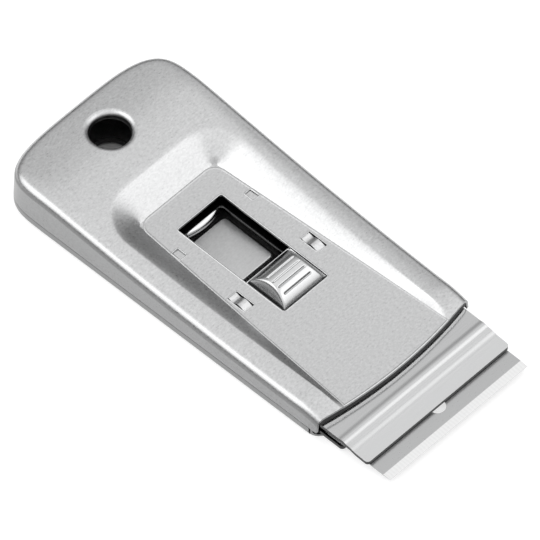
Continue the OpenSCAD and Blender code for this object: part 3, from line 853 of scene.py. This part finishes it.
# %% [markdown]
# The rear end of the carriage's slot is curled down, and it shows in the window as bright curved lines. The
# curl is a quarter of a thin tube. It is made slice by slice across the tool, because its middle bulges
# forwards, which a turned profile couldn't do.

# %% Curled end of the slot
def curled_end(name, half=4.3, outer=1.25, thick=0.3, steps=14, slices=24):
    """A quarter of a tube that bulges forwards a little in its middle."""
    turns = [math.radians(90) * k / steps for k in range(steps + 1)]
    middle = LEAF_TOP - 0.03 - outer
    line = [(outer * math.sin(a), middle + outer * math.cos(a)) for a in turns]
    inner = outer - thick
    line += [(inner * math.sin(a), middle + inner * math.cos(a)) for a in reversed(turns)]
    n = len(line)
    points = []
    for j in range(slices + 1):
        y = mix(-half, half, j / slices)
        start = SLOT_S0 - 0.8 + 0.6 * (1 - (y / half) ** 2)
        points += [Vector((start + s + REAR_X, y, z)) * MM for s, z in line]
    faces = [tuple(range(n)), tuple(range((slices + 1) * n - 1, slices * n - 1, -1))]
    for j in range(slices):
        for k in range(n):
            a, b = j * n + k, j * n + (k + 1) % n
            faces.append((a, b, b + n, a + n))
    return make_piece(name, points, faces)


curl = curled_end("slot_curl")
print("curl at station", round(SLOT_S0, 2))

# %% [markdown]
# Every piece rides on its body, so that the blade and the thumb slide move and the covers stay. The new
# covers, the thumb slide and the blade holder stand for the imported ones. A fine bevel breaks the punched
# edges of the two carriage leaves, because a sharp edge catches no light.

# %% Bodies
LEAF_BEVEL = 0.1 * MM

for piece in [top_skin, top_collar, hem, *waves, *rims]:
    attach(piece, "housing")
for piece in [back_skin, back_collar, pad_skin]:
    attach(piece, "housing")
for piece in [cap, flange, *lugs]:
    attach(piece, "thumb")
for piece in [holder, bar, curl]:
    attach(piece, "carriage")
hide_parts("top_cover")
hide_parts("thumb_slide")
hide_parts("blade_holder")
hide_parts("back_cover")
for leaf in (holder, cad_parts["blade_clamp"]):
    edge = leaf.modifiers.new("edge", "BEVEL")
    edge.width = LEAF_BEVEL
    edge.segments = 3
    edge.limit_method = "ANGLE"
    edge.angle_limit = math.radians(40)


# %% [markdown]
# In the shader editor nodes are wired by hand. In a script the same few kinds come again and again, so each
# gets a small helper. What goes into a node is either a plain value or a link from another node.

# %% Helpers for shader nodes
def feed(links, socket, value):
    if isinstance(value, bpy.types.NodeSocket):
        links.new(value, socket)
    else:
        socket.default_value = value


def arithmetic(nodes, links, operation, *values):
    node = nodes.new("ShaderNodeMath")
    node.operation = operation
    for socket, value in zip(node.inputs, values):
        feed(links, socket, value)
    return node.outputs["Value"]


def map_range(nodes, links, value, source, target=(0, 1), kind="LINEAR"):
    """A value that runs through the target range while another runs through the source range."""
    node = nodes.new("ShaderNodeMapRange")
    node.interpolation_type = kind
    links.new(value, node.inputs["Value"])
    for name, end in zip(("From Min", "From Max", "To Min", "To Max"), (*source, *target)):
        feed(links, node.inputs[name], end)
    return node.outputs["Result"]


def blend(nodes, links, factor, first, second):
    """A colour between two colours."""
    node = nodes.new("ShaderNodeMix")
    node.data_type = "RGBA"
    links.new(factor, node.inputs["Factor"])
    feed(links, node.inputs[6], first)
    feed(links, node.inputs[7], second)
    return node.outputs[2]


def scaled(nodes, links, colour, factor):
    """A colour made darker or lighter by a factor."""
    node = nodes.new("ShaderNodeVectorMath")
    node.operation = "SCALE"
    links.new(colour, node.inputs[0])
    links.new(factor, node.inputs["Scale"])
    return node.outputs["Vector"]


print("helpers ready")

# %% [markdown]
# All the metal is satin steel. Rolled sheet has a fine grain: tiny differences of gloss and height, drawn
# out along the rolling direction. The grain is a node group, because every piece uses it with other values:
# a noise is stretched across the tool, and gives a colour, a roughness and a height. The group also paints
# shade: upright walls and the rolled edges above them get a darker colour than the flat faces, which two
# more inputs set. This is painted shade, not a colour of the steel.

# %% Steel grain and painted shade as a node group
def group_socket(group, name, kind, value=None, out=False):
    socket = group.interface.new_socket(name, in_out="OUTPUT" if out else "INPUT", socket_type=kind)
    if value is not None:
        socket.default_value = value
    return socket


def steel_grain_and_shade_group():
    group = bpy.data.node_groups.new("steel grain and painted shade", "ShaderNodeTree")
    group_socket(group, "Grains per metre", "NodeSocketFloat", 4000.0)
    group_socket(group, "Stretch across", "NodeSocketFloat", 0.1)
    group_socket(group, "Dark", "NodeSocketColor", (0.6, 0.6, 0.6, 1))
    group_socket(group, "Light", "NodeSocketColor", (0.7, 0.7, 0.7, 1))
    group_socket(group, "Smooth", "NodeSocketFloat", 0.25)
    group_socket(group, "Rough", "NodeSocketFloat", 0.4)
    group_socket(group, "Painted wall shade", "NodeSocketFloat", 1.0)
    group_socket(group, "Painted roll shade", "NodeSocketFloat", 1.0)
    group_socket(group, "Color", "NodeSocketColor", out=True)
    group_socket(group, "Roughness", "NodeSocketFloat", out=True)
    group_socket(group, "Height", "NodeSocketFloat", out=True)
    nodes, links = group.nodes, group.links
    start = nodes.new("NodeGroupInput")
    end = nodes.new("NodeGroupOutput")
    place = nodes.new("ShaderNodeTexCoord")
    stretch = nodes.new("ShaderNodeCombineXYZ")
    stretch.inputs["X"].default_value = 1
    stretch.inputs["Z"].default_value = 1
    links.new(start.outputs["Stretch across"], stretch.inputs["Y"])
    squeezed = nodes.new("ShaderNodeVectorMath")
    squeezed.operation = "MULTIPLY"
    links.new(place.outputs["Object"], squeezed.inputs[0])
    links.new(stretch.outputs["Vector"], squeezed.inputs[1])
    grain = nodes.new("ShaderNodeTexNoise")
    grain.inputs["Detail"].default_value = 5
    grain.inputs["Roughness"].default_value = 0.75
    links.new(squeezed.outputs["Vector"], grain.inputs["Vector"])
    links.new(start.outputs["Grains per metre"], grain.inputs["Scale"])
    spread = map_range(nodes, links, grain.outputs["Fac"], (0.3, 0.7))
    colour = blend(nodes, links, spread, start.outputs["Dark"], start.outputs["Light"])
    facing = nodes.new("ShaderNodeSeparateXYZ")
    links.new(place.outputs["Normal"], facing.inputs["Vector"])
    lying = arithmetic(nodes, links, "ABSOLUTE", facing.outputs["Z"])
    # Painted shade: the colour is darkened on rolled edges, and more on upright walls, by how upright the
    # face stands.
    painted_roll_shade = map_range(nodes, links, lying, (0.4, 0.7), (start.outputs["Painted roll shade"], 1), "SMOOTHSTEP")
    painted_wall_shade = map_range(nodes, links, lying, (0.06, 0.2), (start.outputs["Painted wall shade"], painted_roll_shade), "SMOOTHSTEP")
    gloss = map_range(nodes, links, spread, (0, 1), (start.outputs["Smooth"], start.outputs["Rough"]))
    links.new(scaled(nodes, links, colour, painted_wall_shade), end.inputs["Color"])
    links.new(gloss, end.inputs["Roughness"])
    links.new(spread, end.inputs["Height"])
    return group


shade_and_grain_group = steel_grain_and_shade_group()
print("group:", shade_and_grain_group.name)


# %% [markdown]
# A material holds the shader and the values of its own grain. Metals take their whole look from what they
# mirror, so the base colour is a light grey and the roughness says how far the reflections are smeared.

# %% A metal
GRAINS_PER_METRE = 2600
GRAIN_DEPTH = 0.01 * MM


def metal(name, dark, light, least_rough, most_rough, across=0.5, bump=0.2, wall=1.0, roll=1.0):
    """Satin metal whose grain runs from a dark and smooth value to a light and rough one."""
    material = bpy.data.materials.new(name)
    material.use_nodes = True
    nodes, links = material.node_tree.nodes, material.node_tree.links
    shader = nodes["Principled BSDF"]
    shader.inputs["Metallic"].default_value = 1
    grain = nodes.new("ShaderNodeGroup")
    grain.node_tree = shade_and_grain_group
    grain.inputs["Grains per metre"].default_value = GRAINS_PER_METRE
    grain.inputs["Stretch across"].default_value = across
    grain.inputs["Dark"].default_value = (dark, dark * 1.005, dark * 1.01, 1)
    grain.inputs["Light"].default_value = (light, light * 1.005, light * 1.01, 1)
    grain.inputs["Smooth"].default_value = least_rough
    grain.inputs["Rough"].default_value = most_rough
    # The wall and roll values darken upright faces and rolled edges: painted shade.
    grain.inputs["Painted wall shade"].default_value = wall
    grain.inputs["Painted roll shade"].default_value = roll
    relief = nodes.new("ShaderNodeBump")
    relief.inputs["Strength"].default_value = bump
    relief.inputs["Distance"].default_value = GRAIN_DEPTH
    links.new(grain.outputs["Color"], shader.inputs["Base Color"])
    links.new(grain.outputs["Roughness"], shader.inputs["Roughness"])
    links.new(grain.outputs["Height"], relief.inputs["Height"])
    links.new(relief.outputs["Normal"], shader.inputs["Normal"])
    return material


def station_of(nodes, links):
    """How far along the tool a point of the surface lies."""
    place = nodes.new("ShaderNodeTexCoord")
    parts = nodes.new("ShaderNodeSeparateXYZ")
    links.new(place.outputs["Object"], parts.inputs["Vector"])
    return parts.outputs["X"]


def by_station(nodes, links, station, s0, s1, low, high):
    """A value that changes from low to high between two stations."""
    ends = ((s0 + REAR_X) * MM, (s1 + REAR_X) * MM)
    return map_range(nodes, links, station, ends, (low, high))


def paint(material, *objects):
    for obj in objects:
        obj.data.materials.clear()
        obj.data.materials.append(material)


# The wall and roll values below paint shade on upright walls and rolled edges; it is painted shade, not a
# colour of the steel.
satin_top = metal("satin rolled steel", 0.4, 0.59, 0.26, 0.38, wall=0.66, roll=0.45)
satin_back = metal("satin back steel", 0.37, 0.46, 0.28, 0.4, wall=0.66, roll=0.6)
# The lower rim of the hanging hole is painted near black: painted shade inside the hole.
back_rim_painted_shade = metal("back rim steel painted in shade", 0.05, 0.07, 0.5, 0.6)
thumb_metal = metal("polished thumb metal", 0.5, 0.56, 0.16, 0.24, wall=0.35, roll=0.42)
spring_steel = metal("spring steel", 0.4, 0.46, 0.25, 0.35)
rivet_steel = metal("rivet steel", 0.4, 0.46, 0.3, 0.4)
bright_steel = metal("curled steel", 0.5, 0.56, 0.12, 0.2, bump=0.02)
nodes_by_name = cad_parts
paint(satin_top, top_skin, top_collar, *waves, *rims)
paint(satin_back, back_skin, pad_skin)
paint(back_rim_painted_shade, back_collar)
paint(bright_steel, curl)
paint(thumb_metal, cap, flange, *lugs)
paint(spring_steel, nodes_by_name["lock_spring"])
paint(rivet_steel, nodes_by_name["carriage_rivets"])
print("plain metals:", len(bpy.data.materials))

# %% [markdown]
# The blade is polished, but the strip along its cutting edge is ground: matt, nearly white and with fine
# marks across it. One mask along the tool is enough to tell the two apart on the same piece. The strip is
# not metallic in the shader, because a matt ground face scatters the light as chalk does.

# %% The ground edge of the blade
GROUND_WIDTH = 1.95
GROUND_FADE = 0.1
GROUND_MARKS = 420


def grind_edge(material):
    nodes, links = material.node_tree.nodes, material.node_tree.links
    shader = nodes["Principled BSDF"]
    strip = by_station(nodes, links, station_of(nodes, links), GROUND_S0, GROUND_S0 + GROUND_FADE, 0, 1)
    place = nodes.new("ShaderNodeTexCoord")
    marks = nodes.new("ShaderNodeTexWave")
    marks.bands_direction = "Y"
    marks.inputs["Scale"].default_value = GROUND_MARKS
    marks.inputs["Distortion"].default_value = 2
    links.new(place.outputs["Object"], marks.inputs["Vector"])
    chalk = blend(nodes, links, marks.outputs["Fac"], (0.64, 0.64, 0.64, 1), (0.68, 0.68, 0.68, 1))
    plain = shader.inputs["Base Color"].links[0].from_socket
    links.new(blend(nodes, links, strip, plain, chalk), shader.inputs["Base Color"])
    links.new(arithmetic(nodes, links, "SUBTRACT", 1, strip), shader.inputs["Metallic"])


GROUND_S0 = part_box("razor_blade")[1].x / MM - REAR_X - GROUND_WIDTH
blade_steel = metal("ground blade steel", 0.4, 0.415, 0.26, 0.34, across=0.4, bump=0.02)
grind_edge(blade_steel)
paint(blade_steel, nodes_by_name["razor_blade"])
print(f"ground from station {GROUND_S0:.1f}")

# %% [markdown]
# Inside the housing the carriage's colour is painted darker, as painted shade where the housing covers it.
# In front of it the leaf is rubbed smooth where it slides, and the folds and the lip are painted lighter, as
# painted light. All three are changes along the tool, so the colour and the gloss of the grain are scaled by
# station.

# %% The carriage: painted shade, painted light and a rubbed leaf
INSIDE_SHADE_S0 = 73
INSIDE_SHADE_S1 = 79
RUBBED_S1 = HOUSE_L + 1.6
LIP_LIGHT_S0 = HOUSE_L + 2.8


def carriage_shade_light_and_wear(material):
    nodes, links = material.node_tree.nodes, material.node_tree.links
    shader = nodes["Principled BSDF"]
    station = station_of(nodes, links)
    plain = shader.inputs["Base Color"].links[0].from_socket
    # Painted shade: the colour is darker inside the housing, where it is covered.
    inside_painted_shade = by_station(nodes, links, station, INSIDE_SHADE_S0, INSIDE_SHADE_S1, 0.3, 1)
    # Painted light: the folds and the lip get a lighter colour.
    lip_painted_light = by_station(nodes, links, station, LIP_LIGHT_S0, LIP_LIGHT_S0 + 1, 1, 1.2)
    colour = scaled(nodes, links, scaled(nodes, links, plain, inside_painted_shade), lip_painted_light)
    links.new(colour, shader.inputs["Base Color"])
    rubbed = by_station(nodes, links, station, RUBBED_S1, RUBBED_S1 + 1.8, 0.55, 0.85)
    gloss = shader.inputs["Roughness"].links[0].from_socket
    links.new(arithmetic(nodes, links, "MULTIPLY", gloss, rubbed), shader.inputs["Roughness"])


# The carriage's wall and roll values paint its upright edges dark: painted shade.
carriage_steel = metal("carriage steel", 0.405, 0.43, 0.2, 0.28, across=0.05, bump=0.02, wall=0.12, roll=0.4)
carriage_shade_light_and_wear(carriage_steel)
paint(carriage_steel, holder, bar, nodes_by_name["blade_clamp"])
print("carriage bright from station", LIP_LIGHT_S0)

# %% [markdown]
# The turned front edge lies in deep shade, and its steel is painted near black as painted shade. Its mirror
# image would draw a second dark line in the holder, which the real one doesn't show. Light Path tells the
# shader that a ray comes from a mirror, and such a ray sees the edge pale: a painted reflection. It is a
# painter's aid and not a property of the steel.

# %% The shaded front edge
def pale_in_mirror(material, colour):
    nodes, links = material.node_tree.nodes, material.node_tree.links
    shader = nodes["Principled BSDF"]
    rays = nodes.new("ShaderNodeLightPath")
    plain = shader.inputs["Base Color"].links[0].from_socket
    seen = blend(nodes, links, rays.outputs["Is Glossy Ray"], plain, colour)
    links.new(seen, shader.inputs["Base Color"])


# Painted shade on the hem, and a painted pale reflection of it in mirrors.
edge_shadow = metal("shaded front edge", 0.05, 0.07, 0.5, 0.6)
pale_in_mirror(edge_shadow, (0.95, 0.95, 0.95, 1))
paint(edge_shadow, hem)
print("metals:", len(bpy.data.materials))

# %% [markdown]
# The table is white paper. It keeps the soft shadow of the tool, and a little light of its own towards the
# camera and the reflections makes the paper as white as the page. It has none under the hanging hole, which
# looks nearly black in the photograph: the missing glow there is painted shade.

# %% Table
TABLE_SIZE = 3.0
HOLE_SHADE_R = 7
PAPER_GLOW = 0.6
table_mesh = bpy.data.meshes.new("table")
corner = TABLE_SIZE / 2
corners = [(-corner, -corner, 0), (corner, -corner, 0), (corner, corner, 0), (-corner, corner, 0)]
table_mesh.from_pydata(corners, [], [(0, 1, 2, 3)])
table = bpy.data.objects.new("table", table_mesh)
bpy.context.collection.objects.link(table)


def white_paper():
    paper = bpy.data.materials.new("white paper")
    paper.use_nodes = True
    nodes, links = paper.node_tree.nodes, paper.node_tree.links
    shader = nodes["Principled BSDF"]
    shader.inputs["Base Color"].default_value = (0.5, 0.5, 0.5, 1)
    shader.inputs["Roughness"].default_value = 0.9
    shader.inputs["Emission Color"].default_value = (1, 1, 1, 1)
    rays = nodes.new("ShaderNodeLightPath")
    seen = arithmetic(nodes, links, "MAXIMUM", rays.outputs["Is Camera Ray"], rays.outputs["Is Glossy Ray"])
    seen = arithmetic(nodes, links, "MAXIMUM", seen, rays.outputs["Is Transmission Ray"])
    place = nodes.new("ShaderNodeTexCoord")
    from_hole = nodes.new("ShaderNodeVectorMath")
    from_hole.operation = "DISTANCE"
    from_hole.inputs[1].default_value = ((HOLE_S + REAR_X) * MM, 0, 0)
    links.new(place.outputs["Object"], from_hole.inputs[0])
    # Painted shade: the paper gets no glow near the hanging hole.
    outside = arithmetic(nodes, links, "GREATER_THAN", from_hole.outputs["Value"], HOLE_SHADE_R * MM)
    lit = arithmetic(nodes, links, "MULTIPLY", seen, outside)
    links.new(arithmetic(nodes, links, "MULTIPLY", lit, PAPER_GLOW), shader.inputs["Emission Strength"])
    return paper


paint(white_paper(), table)
print("table laid")

# %% [markdown]
# Two wide soft boxes stand left and right of the camera, and a small one hangs close behind the tool, where
# the front half of the recess floor mirrors it. Steel needs wide lamps, because each edge shows the shape
# of what it mirrors. The sky gives the plain level between them.

# %% Light
def soft_box(name, direction, distance, width, height, watts):
    lamp = bpy.data.lights.new(name, "AREA")
    lamp.shape = "RECTANGLE"
    lamp.size = width
    lamp.size_y = height
    lamp.energy = watts
    obj = bpy.data.objects.new(name, lamp)
    bpy.context.collection.objects.link(obj)
    obj.location = direction.normalized() * distance
    obj.rotation_mode = "QUATERNION"
    obj.rotation_quaternion = direction.normalized().to_track_quat("Z", "Y")
    return obj


def grey_ramp(nodes, steps):
    ramp_node = nodes.new("ShaderNodeValToRGB")
    while len(ramp_node.color_ramp.elements) < len(steps):
        ramp_node.color_ramp.elements.new(0.5)
    for element, (place, grey) in zip(ramp_node.color_ramp.elements, steps):
        element.position = place
        element.color = (grey, grey, grey, 1)
    return ramp_node


def studio_sky():
    """Dark at the horizon, and paler over the near side of the table than behind it."""
    world = bpy.data.worlds.new("studio")
    bpy.context.scene.world = world
    world.use_nodes = True
    nodes, links = world.node_tree.nodes, world.node_tree.links
    direction = nodes.new("ShaderNodeTexCoord")
    parts = nodes.new("ShaderNodeSeparateXYZ")
    links.new(direction.outputs["Generated"], parts.inputs["Vector"])
    by_height = grey_ramp(nodes, HEIGHT_LEVELS)
    links.new(parts.outputs["Z"], by_height.inputs["Fac"])
    towards = nodes.new("ShaderNodeVectorMath")
    towards.operation = "DOT_PRODUCT"
    towards.inputs[1].default_value = NEAR_SIDE
    links.new(direction.outputs["Generated"], towards.inputs[0])
    by_side = grey_ramp(nodes, SIDE_LEVELS)
    links.new(map_range(nodes, links, towards.outputs["Value"], (-1, 1)), by_side.inputs["Fac"])
    both = nodes.new("ShaderNodeVectorMath")
    both.operation = "MULTIPLY"
    links.new(by_height.outputs["Color"], both.inputs[0])
    links.new(by_side.outputs["Color"], both.inputs[1])
    background = nodes["Background"]
    background.inputs["Strength"].default_value = SKY_STRENGTH
    links.new(both.outputs["Vector"], background.inputs["Color"])


NEAR_SIDE = (0.695, -0.719, 0)
HEIGHT_LEVELS = [(0.0, 0.1), (0.12, 0.12), (0.3, 0.3), (0.55, 0.75), (0.79, 1.0)]
SIDE_LEVELS = [(0.0, 0.5), (0.195, 0.64), (0.35, 0.76), (0.5, 0.86), (0.8, 0.86), (1.0, 0.7)]
SKY_STRENGTH = 1.6
LEFT_WATTS = 3.0
RIGHT_WATTS = 1.8
BACK_WATTS = 0.012
BACK_BOX_S = 92
BACK_BOX_Y = -4
soft_box("left box", -right + Vector((0, 0, 0.9)), 1.0, 0.9, 0.9, LEFT_WATTS)
soft_box("right box", right + Vector((0, 0, 0.9)), 1.0, 0.9, 0.9, RIGHT_WATTS)
mirrored = Vector((-back.x, -back.y, back.z))
back_box = soft_box("back box", mirrored, 0.25, 0.13, 0.13, BACK_WATTS)
back_box.location += Vector((REAR_X + BACK_BOX_S, BACK_BOX_Y, FLOOR_H)) * MM
studio_sky()
bpy.context.scene.view_settings.view_transform = "Standard"
print("lamps:", len(bpy.data.lights))
